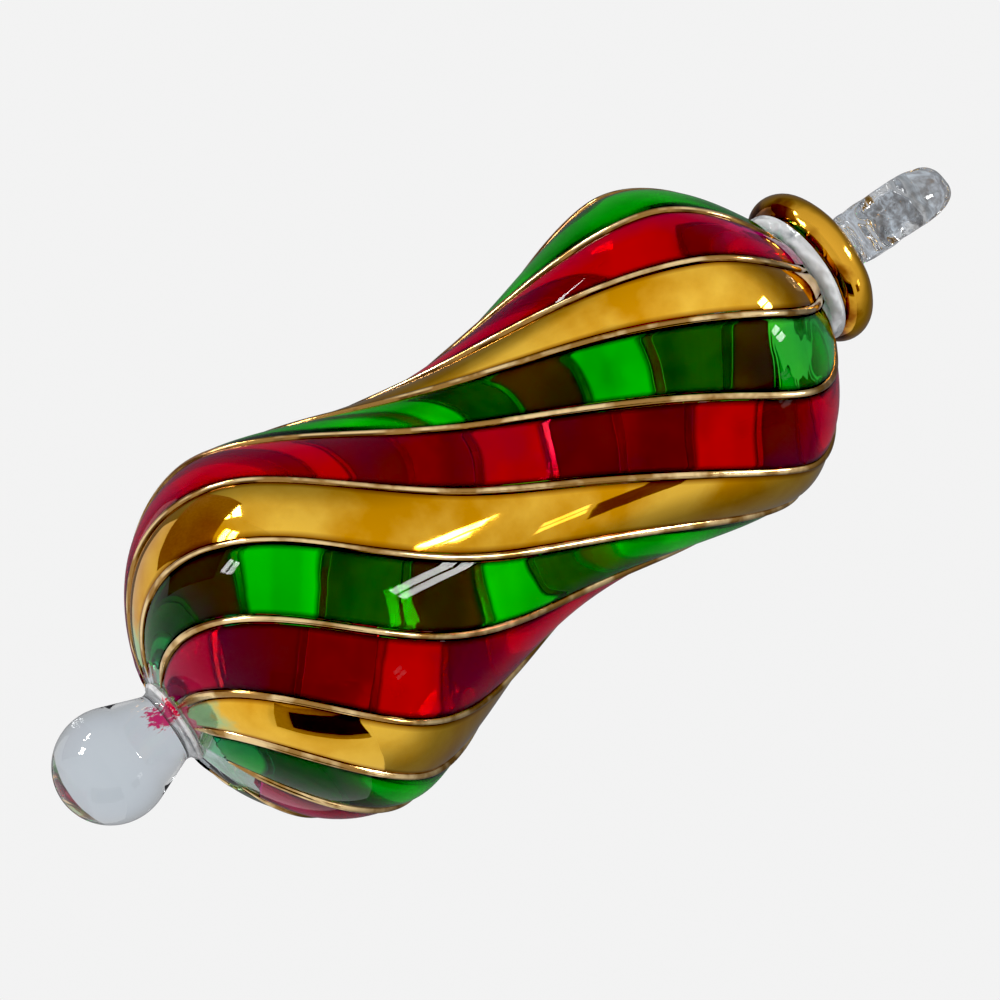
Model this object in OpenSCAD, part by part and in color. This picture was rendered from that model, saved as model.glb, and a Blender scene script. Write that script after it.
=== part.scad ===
// Hand-blown glass drop ornament: a hollow two-lobed body with twisted stripes,
// a solid ball drop below it, and a neck bead, gold ring and hanging loop above it.
// Millimetres, +Z up. The origin is the centre of the loop's eye, whose hole runs along X.

/* [Hanging loop] */
// Diameter of the eye's hole
eye_hole_d = 6.2; // [5:0.1:8]
// Thickness of the glass rod round the hole
eye_rod_d = 5.2; // [4:0.1:6]
// Length of the hole's straight wall, between its rounded edges
eye_land = 2; // [1:0.1:3]
// Diameter of the stem below the eye
loop_stem_d = 6.4; // [5.4:0.1:7]
// Length of the stem, from the eye's rim down to the top of the neck
loop_stem_h = 3.9; // [3.4:0.1:8]
// How far the stem's foot flares out beyond the stem
loop_foot_flare = 2; // [1:0.1:2.4]
// Height of the flare at the stem's foot
loop_foot_h = 2.6; // [2.4:0.1:3.4]
// Diameter of the tenon that plugs into the neck
tenon_d = 4.4; // [3:0.1:5]
// Length of the tenon
tenon_h = 3; // [2:0.1:3.6]

/* [Gold ring] */
// Outer diameter of the ring
ring_d = 21.5; // [20:0.1:24]
// Thickness of the ring's round section
ring_bead_d = 5.3; // [4.4:0.1:6.2]
// How deep the ring sinks into the neck bead
ring_seat = 1.2; // [0.6:0.1:1.6]

/* [Neck] */
// Diameter of the clear neck bead
neck_bead_d = 18.6; // [17.8:0.1:20]
// Thickness of the neck bead
neck_bead_h = 2.8; // [2:0.1:3.4]
// Diameter of the core that carries the ring
neck_core_d = 12; // [11.4:0.1:13]
// How far the core stands above the ring's centre
neck_core_rise = 1.8; // [1:0.1:2.4]
// Length of the spigot that closes the body's mouth
spigot_h = 1.2; // [0.8:0.1:3]

/* [Body] */
// Diameter of the glass at the body's mouth
mouth_d = 17.2; // [15:0.1:18]
// Thickness of the lip round the mouth
lip_t = 2.2; // [1.4:0.1:2.6]
// Diameter of the glass at the upper lobe
upper_lobe_d = 44.5; // [38:0.5:54]
// Diameter of the glass at the waist
waist_d = 33.7; // [26:0.1:37]
// Diameter of the glass at the lower lobe
lower_lobe_d = 47.6; // [40:0.1:60]
// Height from the upper lobe's widest part up to the mouth
shoulder_h = 16.6; // [14:0.1:24]
// Height from the waist up to the upper lobe's widest part
upper_flank_h = 30; // [24:0.5:40]
// Height from the lower lobe's widest part up to the waist
lower_flank_h = 30.6; // [24:0.1:40]
// Height from the foot up to the lower lobe's widest part
base_h = 19.2; // [16:0.1:26]
// How the base draws in to the foot: 1 is part of an ellipse, more is closer to a cone
base_ease = 1.1; // [1:0.05:1.5]
// How early each flank drops away from its lobe: less is earlier, 1 is even
flank_ease = 0.8; // [0.7:0.05:1]
// Thickness of the blown wall
wall = 1; // [0.8:0.1:1.6]

/* [Ball drop] */
// Diameter of the ball
ball_d = 13.3; // [12.2:0.1:14.6]
// Distance from the body's foot down to the ball's centre
ball_drop = 9.2; // [8:0.1:14]
// Diameter of the ball's stem at its narrowest
ball_stem_d = 11; // [9:0.1:12]
// Distance from the body's foot down to the narrowest part of the stem
ball_stem_h = 1.6; // [1:0.1:3]
// How far the stem flares out where it meets the body
ball_stem_flare = 0.5; // [0.3:0.1:1.4]
// Diameter of the plug that closes the body's foot
plug_d = 6.4; // [4:0.1:8]
// How far the plug stands inside the body
plug_proud = 0.6; // [0.2:0.1:2]

/* [Stripes] */
// Number of sets, each of a red, a gold and a green stripe
stripe_sets = 4; // [3:1:5]
// Width of a red stripe, as a share of its set
red_share = 32; // [20:1:44]
// Width of a gold stripe, as a share of its set
gold_share = 28; // [20:1:44]
// Width of a green stripe, as a share of its set
green_share = 30; // [20:1:44]
// Where the first red stripe starts at the waist, in degrees from +X
stripe_start = 160; // [0:1:359]
// Twist from the foot to the lower lobe, in degrees
base_twist = 51; // [20:1:70]
// Twist from the lower lobe to the waist, in degrees
lower_twist = 60; // [30:1:80]
// Twist from the waist to the upper lobe, in degrees
upper_twist = 50; // [30:1:80]
// Twist from the upper lobe to the mouth, in degrees
shoulder_twist = 22; // [10:1:40]
// Thickness of a stripe along its edges
stripe_t = 0.35; // [0.3:0.05:0.6]
// How much a stripe swells along its middle
crown_h = 0.4; // [0:0.05:0.6]
// Height over which the stripes and lines thin out towards each end
fade_h = 8; // [4:0.5:14]
// Thickness that is left at each end, as a share of the full thickness
end_share = 0.5; // [0.4:0.05:1]
// Width of the raised gold line between two stripes
rib_w = 1.3; // [0.6:0.05:1.6]
// Height of the raised gold line
rib_h = 0.75; // [0.6:0.05:1.2]
// Width of the clear glass left bare round the foot
bare_foot = 1.6; // [1:0.1:5]
// Width of the clear glass left bare round the mouth
bare_mouth = 1.5; // [1:0.1:4]

/* [Clearances] */
// Gap round each plug, spigot, tenon and core
fit_gap = 0.05; // [0.02:0.01:0.1]
// Gap between the glass and the layers fired onto it
skin_gap = 0.02; // [0.01:0.01:0.05]
// Gap between a stripe and the gold lines beside it
seam_gap = 0.05; // [0.03:0.01:0.1]

/* [Hidden] */
$fn = 96;
// Steps along each of the body's four stretches, and widest flat across a stripe, in degrees
stretch_steps = [7, 8, 8, 7];
bare_steps = 3;
stripe_flat = 9;
rib_flats = 3;
// How far the hand laid each gold line from even spacing, in degrees
hand_shift = [12, 7, 1, 0, 0, 0, 0, 0, -2, -3, 0, 6];

clear_colour = [0.86, 0.92, 0.95, 0.45];
ring_colour = [0.78, 0.56, 0.13];
line_colour = [0.86, 0.7, 0.38];
stripe_names = ["red_stripe", "gold_stripe", "green_stripe"];
stripe_colours = [[0.62, 0.02, 0.07, 0.85], [0.8, 0.58, 0.16], [0.02, 0.5, 0.12, 0.85]];
stripe_shares = [red_share, gold_share, green_share];
kinds = len(stripe_names);
stripe_count = stripe_sets * kinds;

// Radii
eye_r = eye_hole_d / 2 + eye_rod_d;
eye_rod_r = eye_hole_d / 2 + eye_rod_d / 2;
ring_r = ring_d / 2 - ring_bead_d / 2;
throat_r = mouth_d / 2 - lip_t;
upper_r = upper_lobe_d / 2;
waist_r = waist_d / 2;
lower_r = lower_lobe_d / 2;
foot_r = ball_stem_d / 2 + ball_stem_flare;
ball_r = ball_d / 2;

// Heights, from the eye down
z_core = -eye_r - loop_stem_h;
z_ring = z_core - neck_core_rise;
z_bead = z_ring - ring_bead_d / 2 + ring_seat;
z_mouth = z_bead - neck_bead_h;
z_upper = z_mouth - shoulder_h;
z_waist = z_upper - upper_flank_h;
z_lower = z_waist - lower_flank_h;
z_foot = z_lower - base_h;
z_ball_stem = z_foot - ball_stem_h;
z_ball = z_foot - ball_drop;

function mix(a, b, s) = a + (b - a) * s;
function ease(s) = s * s * (3 - 2 * s);
function degrees(arc, r) = arc / r * 180 / PI;

// The body's profile, from the foot up to the mouth, as [radius, height] points.
// The base is much like part of an ellipse, and a is its angle: 90 is the lower lobe's widest part.
function base_angle(r) = asin(r / lower_r);
base_semi = base_h / pow(cos(base_angle(foot_r)), base_ease);
function base_point(a) = [lower_r * sin(a), z_lower - base_semi * pow(cos(a), base_ease)];
function lower_point(s) = [
    mix(lower_r, waist_r, ease(pow(s, flank_ease))),
    mix(z_lower, z_waist, s)
];
function upper_point(s) = [
    mix(upper_r, waist_r, ease(pow(1 - s, flank_ease))),
    mix(z_waist, z_upper, s)
];
// The shoulder falls away as a quarter of a cosine wave.
function shoulder_point(s) = [mix(mouth_d / 2, upper_r, cos(90 * s)), mix(z_upper, z_mouth, s)];

first_angle = base_angle(foot_r + bare_foot);
last_step = acos(bare_mouth / (upper_r - mouth_d / 2)) / 90;
foot_profile = [
    for (i = [0 : bare_steps - 1])
        base_point(mix(base_angle(foot_r), first_angle, i / bare_steps))
];
stripe_profile = concat(
    [for (i = [0 : stretch_steps[0] - 1]) base_point(mix(first_angle, 90, i / stretch_steps[0]))],
    [for (i = [0 : stretch_steps[1] - 1]) lower_point(i / stretch_steps[1])],
    [for (i = [0 : stretch_steps[2] - 1]) upper_point(i / stretch_steps[2])],
    [for (i = [0 : stretch_steps[3]]) shoulder_point(last_step * i / stretch_steps[3])]
);
mouth_profile = [for (i = [1 : bare_steps]) shoulder_point(mix(last_step, 1, i / bare_steps))];
body_profile = concat(foot_profile, stripe_profile, mouth_profile);
body_last = len(body_profile) - 1;

// The profile's outward direction at a point
function outward(i) = let (
    d = body_profile[min(i + 1, body_last)] - body_profile[max(i - 1, 0)]
) [d[1], -d[0]] / norm(d);

// Twist of the stripes at a height: a smooth curve through the body's five stations
stations = [z_foot, z_lower, z_waist, z_upper, z_mouth];
turns = [
    -base_twist - lower_twist,
    -lower_twist,
    0,
    upper_twist,
    upper_twist + shoulder_twist
];
function rise(k) = (turns[k + 1] - turns[k]) / (stations[k + 1] - stations[k]);
last_station = len(stations) - 1;
function slope(k) =
    k == 0 ? 2 * rise(0) - slope(1)
    : k == last_station ? 2 * rise(k - 1) - slope(k - 1)
    : (turns[k + 1] - turns[k - 1]) / (stations[k + 1] - stations[k - 1]);
function stretch(z) = z < z_lower ? 0 : z < z_waist ? 1 : z < z_upper ? 2 : 3;
function twist(z) = let (
    k = stretch(z),
    h = stations[k + 1] - stations[k],
    s = (z - stations[k]) / h
) mix(turns[k], turns[k + 1], ease(s)) + h * s * (1 - s) * (slope(k) * (1 - s) - slope(k + 1) * s);

// Direction of a gold line at the waist. Line i is the lower edge of stripe i.
function share_before(kind) = kind == 0 ? 0 : share_before(kind - 1) + stripe_shares[kind - 1];
function line_angle(i) = stripe_start
    + 360 / stripe_sets * (floor(i / kinds) + share_before(i % kinds) / share_before(kinds))
    + hand_shift[(i % stripe_count) % len(hand_shift)];

// Height of a layer's inner face above the glass: flat facets dip towards the round body.
function seat(r) = skin_gap + r * (1 - cos(stripe_flat / 2));

// A point at profile point i, in direction a, at height h above the glass
function spot(i, a, h) = let (
    k = i + bare_steps,
    r = body_profile[k][0] + h * outward(k)[0],
    z = body_profile[k][1] + h * outward(k)[1]
) [r * cos(a), r * sin(a), z];

// Share of the full thickness that a layer has at a height
stripe_last = len(stripe_profile) - 1;
function fade(z) = let (
    from_foot = z - stripe_profile[0][1],
    from_mouth = stripe_profile[stripe_last][1] - z
) mix(end_share, 1, ease(min(1, from_foot / fade_h, from_mouth / fade_h)));

// A layer over the body: from one edge's angle to the other's at each profile point,
// with its thickness across given by a list.
function layer_rows(from, to, thickness) = [
    for (i = [0 : stripe_last]) let (
        r = stripe_profile[i][0],
        z = stripe_profile[i][1],
        flats = len(thickness) - 1
    ) [
        for (j = [0 : flats]) let (
            a = twist(z) + mix(from[0] + degrees(from[1], r), to[0] + degrees(to[1], r), j / flats)
        ) [spot(i, a, seat(r)), spot(i, a, seat(r) + fade(z) * thickness[j])]
    ]
];

// Solid between the inner and outer points of every row
module layer(rows) {
    last = len(rows) - 1;
    flats = len(rows[0]) - 1;
    function inner(i, j) = 2 * (i * (flats + 1) + j);
    function outer(i, j) = inner(i, j) + 1;
    skin = [
        for (i = [0 : last - 1], j = [0 : flats - 1]) each [
            [outer(i, j), outer(i + 1, j), outer(i, j + 1)],
            [outer(i, j + 1), outer(i + 1, j), outer(i + 1, j + 1)],
            [inner(i, j), inner(i, j + 1), inner(i + 1, j)],
            [inner(i, j + 1), inner(i + 1, j + 1), inner(i + 1, j)]
        ]
    ];
    edges = [
        for (i = [0 : last - 1]) each [
            [inner(i, 0), inner(i + 1, 0), outer(i, 0)],
            [outer(i, 0), inner(i + 1, 0), outer(i + 1, 0)],
            [inner(i, flats), outer(i, flats), inner(i + 1, flats)],
            [outer(i, flats), outer(i + 1, flats), inner(i + 1, flats)]
        ]
    ];
    ends = [
        for (j = [0 : flats - 1]) each [
            [inner(0, j), outer(0, j), inner(0, j + 1)],
            [inner(0, j + 1), outer(0, j), outer(0, j + 1)],
            [inner(last, j), inner(last, j + 1), outer(last, j)],
            [inner(last, j + 1), outer(last, j + 1), outer(last, j)]
        ]
    ];
    polyhedron([for (row = rows, pair = row, p = pair) p], concat(skin, edges, ends));
}

// Half section of a foot that flares from one radius to another on a concave arc
module flare(narrow_r, wide_r, h) {
    w = wide_r - narrow_r;
    arc_r = (h * h + w * w) / (2 * w);
    difference() {
        square([wide_r, h]);
        translate([narrow_r + arc_r, h]) circle(arc_r);
    }
}

// Hollow body, open at the mouth and at the foot
module glass_body() {
    inner_profile = [for (i = [0 : body_last]) body_profile[i] - wall * outward(i)];
    plug_hole_r = plug_d / 2 + fit_gap;
    color(clear_colour)
        rotate_extrude()
            polygon(concat(
                [[plug_hole_r, z_foot]],
                body_profile,
                [[throat_r, z_mouth], [throat_r, inner_profile[body_last][1]]],
                [for (i = [body_last : -1 : 0]) inner_profile[i]],
                [[plug_hole_r, inner_profile[0][1]]]
            ));
}

// Solid ball on a tapered stem, with a plug that closes the foot of the body
module drop_ball() {
    stem_r = ball_stem_d / 2;
    reach = norm([stem_r, z_ball_stem - z_ball]);
    tangent = atan2(z_ball_stem - z_ball, stem_r) - acos(ball_r / reach);
    color(clear_colour) {
        sphere_and_stem(stem_r, tangent);
        translate([0, 0, z_foot]) cylinder(d = plug_d, h = wall + plug_proud);
    }
}

// Ball and stem as one turned form: the stem's side is tangent to the ball
module sphere_and_stem(stem_r, tangent) {
    rotate_extrude() {
        intersection() {
            translate([0, z_ball]) circle(ball_r);
            translate([0, z_ball - ball_r]) square(2 * ball_r);
        }
        polygon([
            [0, z_ball],
            [ball_r * cos(tangent), z_ball + ball_r * sin(tangent)],
            [stem_r, z_ball_stem],
            [0, z_ball_stem]
        ]);
        translate([0, z_foot]) mirror([0, 1]) flare(stem_r, foot_r, ball_stem_h);
    }
}

// Round section of the ring, turned about the axis
module ring_bead(gap) {
    translate([0, 0, z_ring])
        rotate_extrude()
            translate([ring_r, 0]) circle(ring_bead_d / 2 + gap);
}

// Clear bead with a spigot in the body's mouth, a seat for the ring and a core inside it
module neck_bead() {
    rim_r = neck_bead_h / 2;
    core_h = z_core - z_bead;
    color(clear_colour)
        difference() {
            union() {
                translate([0, 0, z_mouth]) {
                    cylinder(d = neck_bead_d - neck_bead_h, h = neck_bead_h);
                    rotate_extrude() translate([neck_bead_d / 2 - rim_r, rim_r]) circle(rim_r);
                    translate([0, 0, -spigot_h]) cylinder(r = throat_r - fit_gap, h = spigot_h);
                }
                translate([0, 0, z_bead]) cylinder(d = neck_core_d, h = core_h);
            }
            ring_bead(fit_gap);
            translate([0, 0, z_core - tenon_h - fit_gap])
                cylinder(d = tenon_d + 2 * fit_gap, h = tenon_h + 2 * fit_gap);
        }
}

// Gilded ring, bored to fit the neck's core
module gold_ring() {
    bore_h = 2 * ring_bead_d;
    color(ring_colour)
        difference() {
            ring_bead(0);
            translate([0, 0, z_ring - bore_h / 2])
                cylinder(d = neck_core_d + 2 * fit_gap, h = bore_h);
        }
}

// Eye of flattened rod on a stem, with a flared foot and a tenon
module hanging_loop() {
    color(clear_colour) {
        rotate([0, 90, 0])
            rotate_extrude()
                translate([eye_rod_r, 0]) {
                    square([eye_rod_d, eye_land], center = true);
                    for (side = [-1, 1]) translate([0, side * eye_land / 2]) circle(eye_rod_d / 2);
                }
        translate([0, 0, z_core]) {
            cylinder(d = loop_stem_d, h = -eye_rod_r - z_core);
            rotate_extrude() flare(loop_stem_d / 2, loop_stem_d / 2 + loop_foot_flare, loop_foot_h);
            translate([0, 0, -tenon_h]) cylinder(d = tenon_d, h = tenon_h);
        }
    }
}

// Coloured or gilded stripe that swells along its middle, between two gold lines
module stripe(i) {
    edge = rib_w / 2 + seam_gap;
    flats = ceil((line_angle(i + 1) - line_angle(i)) / stripe_flat);
    thickness = [for (j = [0 : flats]) stripe_t + crown_h * (1 - pow(2 * j / flats - 1, 2))];
    color(stripe_colours[i % kinds])
        layer(layer_rows([line_angle(i), edge], [line_angle(i + 1), -edge], thickness));
}

// Raised gold line with a rounded top, along the valley between two stripes
module rib_line(i) {
    thickness = [for (j = [0 : rib_flats]) rib_h * (1 + sin(180 * j / rib_flats)) / 2];
    color(line_colour)
        layer(layer_rows([line_angle(i), -rib_w / 2], [line_angle(i), rib_w / 2], thickness));
}

function stripe_name(i) = str(stripe_names[i % kinds], "_", floor(i / kinds) + 1);
function rib_name(i) = str("rib_line_", i + 1);

glass_body();
drop_ball();
neck_bead();
gold_ring();
hanging_loop();
for (i = [0 : stripe_count - 1]) {
    stripe(i);
    rib_line(i);
}
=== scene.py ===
"""Looks of a hand-blown glass drop ornament with twisted red, gold and green stripes.

Lengths are in millimetres and angles in degrees until a mesh is made. The frame is the solids' own:
+Z up along the ornament's axis, with the origin at the centre of the hanging loop's eye.
"""
import bisect
import math

import bpy
from mathutils import Matrix, Quaternion, Vector, noise


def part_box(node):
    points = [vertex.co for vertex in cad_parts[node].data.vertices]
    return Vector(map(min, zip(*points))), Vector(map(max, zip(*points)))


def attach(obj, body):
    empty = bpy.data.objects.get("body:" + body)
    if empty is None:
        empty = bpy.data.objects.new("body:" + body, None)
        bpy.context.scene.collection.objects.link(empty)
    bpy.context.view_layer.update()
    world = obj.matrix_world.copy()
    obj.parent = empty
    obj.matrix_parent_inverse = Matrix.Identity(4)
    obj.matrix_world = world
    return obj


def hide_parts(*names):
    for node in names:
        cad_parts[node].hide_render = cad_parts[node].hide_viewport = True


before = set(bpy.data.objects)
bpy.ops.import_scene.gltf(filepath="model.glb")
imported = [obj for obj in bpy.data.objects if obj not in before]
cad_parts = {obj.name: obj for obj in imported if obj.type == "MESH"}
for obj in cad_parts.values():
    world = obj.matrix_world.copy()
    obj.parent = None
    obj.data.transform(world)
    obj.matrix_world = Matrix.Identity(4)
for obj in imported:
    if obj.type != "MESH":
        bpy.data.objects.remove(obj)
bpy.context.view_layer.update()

MM = 0.001


def box_mm(node):
    """Lowest and highest corner of a CAD node, in millimetres."""
    low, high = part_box(node)
    return low / MM, high / MM


# Body: the solids' profile, with a narrower foot
body_low, body_high = box_mm("glass_body")
FOOT_Z = body_low.z
MOUTH_Z = body_high.z
LOWER_R = body_high.x
UPPER_R = 22.25
WAIST_R = 16.85
MOUTH_R = 8.6
FOOT_R = 5.1
SHOULDER_H = 16.6
UPPER_FLANK_H = 30
LOWER_FLANK_H = 30.6
FLANK_EASE = 0.8
BASE_EASE = 1.1
WALL = 1
UPPER_Z = MOUTH_Z - SHOULDER_H
WAIST_Z = UPPER_Z - UPPER_FLANK_H
LOWER_Z = WAIST_Z - LOWER_FLANK_H
BASE_H = LOWER_Z - FOOT_Z
FOOT_ANGLE = math.asin(FOOT_R / LOWER_R)
BASE_SEMI = BASE_H / math.cos(FOOT_ANGLE) ** BASE_EASE
# Steps t of the profile: 0 is the foot, 1 the lower lobe and 2 the waist
UPPER_T = 3
MOUTH_T = 4

# Stripes that swell along their middle, and the raised gold lines between them
SETS = 4
KINDS = ("red", "gold", "green")
SHARES = (32, 28, 30)
STRIPES = SETS * len(KINDS)
FIRST_ANGLE = 160
HAND_SHIFT = (12, 7, 1, 0, 0, 0, 0, 0, -2, -3, 0, 6)
STATION_Z = (FOOT_Z, LOWER_Z, WAIST_Z, UPPER_Z, MOUTH_Z)
STATION_TURN = (-111, -60, 0, 50, 72)
STRIPE_T = 0.3
CROWN_H = 0.25
INNER_LOBE = 0.25
RIPPLE = 0.03
RIPPLE_LENGTH = 5
FADE_H = 8
END_SHARE = 0.5
RIB_W = 1.25
RIB_H = 0.7
# Size of a line at its very tip and how fast it grows from there, and its height at its edges
RIB_TIP = 0.25
RIB_TIP_GROWTH = 25
RIB_EDGE = 0.12
RIB_ROUNDNESS = 0.6
SKIN_GAP = 0.03
SEAM_GAP = 0.05
BARE_FOOT = 1.6
BARE_MOUTH = 1.5
# Where the bare glass ends above the foot and starts again below the mouth
FIRST_T = (math.asin((FOOT_R + BARE_FOOT) / LOWER_R) - FOOT_ANGLE) / (math.pi / 2 - FOOT_ANGLE)
LAST_T = UPPER_T + math.acos(BARE_MOUTH / (UPPER_R - MOUTH_R)) / (math.pi / 2)
LINE_FIRST_T = 0.035
# Where each kind of stripe starts at the foot
FOOT_START = {"red": 0.06, "gold": 0.085, "green": 0.11}
# Stripes that start later than the others of their kind, and by how much
LATE_START = {8: 0.03, 9: 0.2, 10: 0.12}
RAGGED_FOOT = 0.03
RAGGED_MOUTH = 0.03
EDGE_DRIFT = 0.18
DRIFT_LENGTH = 14
BRUSH_MARKS = 4
# Steps in the noise from one line, stripe or end to the next, so that no two are alike
LINE_STEP = 7.3
STRIPE_STEP = 5.1
END_STEP = 9.7

# Ball, neck, ring and loop
BALL_R = 6.9
BALL_STEM_R = 4.5
STEM_FILLET_R = 1
STEM_FILLET_END = 115
WELD_H = 0.3
WELD_LUMP = 0.25
WELD_LUMP_RATE = 3
WELD_LUMP_H = 2
WELD_LAST_T = 0.012
SPLASH_AT = Vector((-1.7, -5.6, -116.2))
SPLASH_R = 3.4
CORE_R = 6
RIM_PARTS = 2.6
RIM_END = 15
SEAT_START = -62
BROAD_LUMP = 0.7
BROAD_LUMP_RATE = 2.5
BROAD_LUMP_H = 2
FINE_LUMP = 0.3
FINE_LUMP_RATE = 9
LUMP_FADE_H = 0.8
RING_UNEVEN = 0.03
RING_UNEVEN_RATE = 2
HOLE_R = 3.1
EYE_R = 8.15
EYE_HALF_T = 3.6
EYE_FLATNESS = 0.8
LOOP_STEM_R = 3.5
LOOP_FLARE_R = 2.6
LOOP_FLARE_START = 255
LOOP_FOOT_W = 1.9
STEM_OVERLAP = 1.5
TIP_TAPER = 0.2
LOOP_LEAN = 1
LEAN_BEND = 1.5
LOOP_WAVE = 0.16
LOOP_WAVE_LENGTH = 2.2
LOOP_CALM_H = 4
HOLE_WAVE = 0.3
HOLE_WAVE_LENGTH = 0.9
HOLE_WAVE_W = 1.6
HOLE_WAVE_FADE = 1

# Mesh fineness
STRIPE_ROWS = 160
STRIPE_COLS = 16
RIB_COLS = 10
TURNS = 192
BALL_TURNS = 128
EYE_TURNS = 96
STEM_TURNS = 64
ROD_STEPS = 48
BALL_STEPS = 48
FOOT_STEPS = 4
FILLET_STEPS = 10
RIM_STEPS = 20
SEAT_STEPS = 16
FLARE_STEPS = 12
PROFILE_STEPS = 200
SMOOTH_PASSES = 12
MELT_GRAIN = 0.22
MELT_PASSES = 24
SHARP_ANGLE = 40


def mix(a, b, s):
    """Value at share s of the way from a to b."""
    return a + (b - a) * s


def ease(s):
    """Share s, slow at its start and end."""
    return s * s * (3 - 2 * s)


def ramp_up(value, span):
    """Eased share of a span that a value has covered, from 0 to 1."""
    return ease(min(1, max(0, value / span)))


def raw_point(t):
    """Profile point (radius, height) at t: 0 foot, 1 lower lobe, 2 waist, 3 upper lobe, 4 mouth."""
    stretch = min(int(t), UPPER_T)
    s = t - stretch
    if stretch == 0:
        a = mix(FOOT_ANGLE, math.pi / 2, s)
        return LOWER_R * math.sin(a), LOWER_Z - BASE_SEMI * math.cos(a) ** BASE_EASE
    if stretch == 1:
        return mix(LOWER_R, WAIST_R, ease(s ** FLANK_EASE)), mix(LOWER_Z, WAIST_Z, s)
    if stretch == 2:
        return mix(UPPER_R, WAIST_R, ease((1 - s) ** FLANK_EASE)), mix(WAIST_Z, UPPER_Z, s)
    return mix(MOUTH_R, UPPER_R, math.cos(math.pi / 2 * s)), mix(UPPER_Z, MOUTH_Z, s)


def smooth_profile():
    """The profile as an even list of points, with the joins of its stretches smoothed out."""
    points = [raw_point(MOUTH_T * i / PROFILE_STEPS) for i in range(PROFILE_STEPS + 1)]
    for _ in range(SMOOTH_PASSES):
        inside = zip(points, points[1:], points[2:])
        blended = [((a[0] + 2 * b[0] + c[0]) / 4, (a[1] + 2 * b[1] + c[1]) / 4) for a, b, c in inside]
        points = [points[0], *blended, points[-1]]
    return points


PROFILE = smooth_profile()


def body_point(t):
    """Smoothed profile point (radius, height) at t."""
    x = min(max(t, 0), MOUTH_T) * PROFILE_STEPS / MOUTH_T
    k = min(int(x), PROFILE_STEPS - 1)
    a, b = PROFILE[k], PROFILE[k + 1]
    return mix(a[0], b[0], x - k), mix(a[1], b[1], x - k)


def outward(t):
    """Outward direction (radial, upward) of the profile at t."""
    step = MOUTH_T / PROFILE_STEPS
    r0, z0 = body_point(t - step)
    r1, z1 = body_point(t + step)
    length = math.hypot(r1 - r0, z1 - z0)
    return (z1 - z0) / length, (r0 - r1) / length


def turn_slope(k):
    """Twist per millimetre at station k."""
    last = len(STATION_Z) - 1

    def between(a, b):
        return (STATION_TURN[b] - STATION_TURN[a]) / (STATION_Z[b] - STATION_Z[a])

    if k == 0:
        return 2 * between(0, 1) - turn_slope(1)
    if k == last:
        return 2 * between(last - 1, last) - turn_slope(last - 1)
    return between(k - 1, k + 1)


SLOPES = [turn_slope(k) for k in range(len(STATION_Z))]


def twist(z):
    """Turn of the stripes at a height."""
    k = sum(z >= level for level in STATION_Z[1:-1])
    h = STATION_Z[k + 1] - STATION_Z[k]
    s = (z - STATION_Z[k]) / h
    bend = h * s * (1 - s) * (SLOPES[k] * (1 - s) - SLOPES[k + 1] * s)
    return mix(STATION_TURN[k], STATION_TURN[k + 1], ease(s)) + bend


def line_angle(i):
    """Direction of gold line i at the waist. It is the lower edge of stripe i."""
    kind = i % len(KINDS)
    share = sum(SHARES[:kind]) / sum(SHARES)
    return FIRST_ANGLE + 360 / SETS * (i // len(KINDS) + share) + HAND_SHIFT[i % STRIPES]


LINE_ANGLES = [line_angle(i) for i in range(STRIPES + 1)]


def stripe_at(angle, z):
    """The stripe in a direction at a height, and where across it: 0 at one gold line, 1 at the next."""
    turned = LINE_ANGLES[0] + (angle - twist(z) - LINE_ANGLES[0]) % 360
    i = min(bisect.bisect_right(LINE_ANGLES, turned), STRIPES) - 1
    return i, (turned - LINE_ANGLES[i]) / (LINE_ANGLES[i + 1] - LINE_ANGLES[i])


def stripe_start(i):
    """Where stripe i starts at the foot."""
    return FOOT_START[KINDS[i % len(KINDS)]] + LATE_START.get(i, 0)


def line_start(i):
    """Where gold line i starts at the foot: it is late where the stripes on both its sides are."""
    return LINE_FIRST_T + (LATE_START.get(i - 1, 0) + LATE_START.get(i, 0)) / 2


def on_body(t, angle, heights):
    """Points at t on the profile, in a direction in degrees, at heights above the glass."""
    r, z = body_point(t)
    n = outward(t)
    a = math.radians(angle)
    reaches = [(r + h * n[0], z + h * n[1]) for h in heights]
    return [Vector((reach * math.cos(a), reach * math.sin(a), level)) for reach, level in reaches]


def arc_degrees(length, r):
    """Angle of an arc of a length at radius r."""
    return math.degrees(length / r)


STRIPES_FROM_Z = body_point(FIRST_T)[1]
STRIPES_TO_Z = body_point(LAST_T)[1]


def fade(z):
    """Share of the full thickness that stripes and lines have at a height."""
    return mix(END_SHARE, 1, ramp_up(min(z - STRIPES_FROM_Z, STRIPES_TO_Z - z), FADE_H))


# Meshes


def add_object(name, data):
    """New object in the scene from a mesh, light or camera."""
    thing = bpy.data.objects.new(name, data)
    bpy.context.scene.collection.objects.link(thing)
    return thing


def add_mesh(name, points, faces, uvs=None, seams=()):
    """New smooth-shaded mesh object from points in millimetres. Seam faces take its second material."""
    mesh = bpy.data.meshes.new(name)
    mesh.from_pydata([Vector(p) * MM for p in points], [], faces)
    for index in seams:
        mesh.polygons[index].material_index = 1
    if uvs:
        layer = mesh.uv_layers.new(name="across")
        for loop in mesh.loops:
            layer.data[loop.index].uv = uvs[loop.vertex_index]
    mesh.shade_smooth()
    mesh.set_sharp_from_angle(angle=math.radians(SHARP_ANGLE))
    return add_object(name, mesh)


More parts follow.
